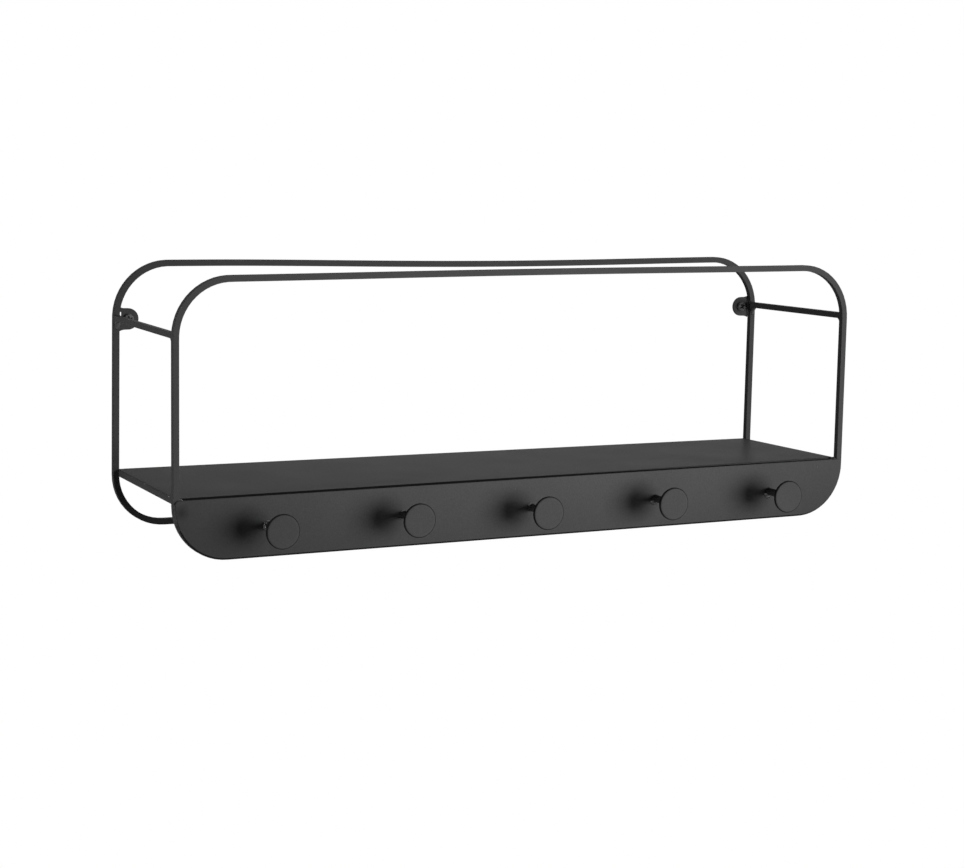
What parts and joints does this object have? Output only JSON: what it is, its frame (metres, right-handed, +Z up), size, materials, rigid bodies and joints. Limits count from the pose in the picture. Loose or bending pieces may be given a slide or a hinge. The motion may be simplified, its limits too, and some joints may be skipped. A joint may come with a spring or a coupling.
{
  "type": "wall shelf with coat hooks",
  "caption": "Wall shelf with coat hooks: round-cornered loops of square bar carry a sheet shelf and a front panel with disc-ended pegs, all black.",
  "frame": {"origin": "on the wall plane, halfway between the two wall screws", "axes": "+X along the wall, to the right as seen from the room; +Y into the wall; +Z up"},
  "size_m": [0.8, 0.276, 0.282],
  "materials": {
    "frame_paint": "satin black powder coat on square bar",
    "sheet_paint": "satin black powder coat on sheet steel",
    "hook_paint": "satin black powder coat on turned pegs",
    "weld_paint": "satin black powder coat over weld beads",
    "screw_black": "black phosphated steel"
  },
  "bodies": {
    "root": {"rear_frame_loop": "frame_paint", "front_frame_loop": "frame_paint", "left_upper_side_bar": "frame_paint", "right_upper_side_bar": "frame_paint", "left_lower_side_bar": "frame_paint", "right_lower_side_bar": "frame_paint", "shelf_tray": "sheet_paint", "front_panel": "sheet_paint", "left_wall_tab": "sheet_paint", "right_wall_tab": "sheet_paint", "left_wall_screw": "screw_black", "right_wall_screw": "screw_black", "hook_stem_1": "hook_paint", "hook_stem_2": "hook_paint", "hook_stem_3": "hook_paint", "hook_stem_4": "hook_paint", "hook_stem_5": "hook_paint", "hook_disc_1": "hook_paint", "hook_disc_2": "hook_paint", "hook_disc_3": "hook_paint", "hook_disc_4": "hook_paint", "hook_disc_5": "hook_paint", "upper_bar_welds": "weld_paint", "lower_bar_welds": "weld_paint", "hook_welds": "weld_paint", "tab_welds": "weld_paint"}
  },
  "joints": []
}
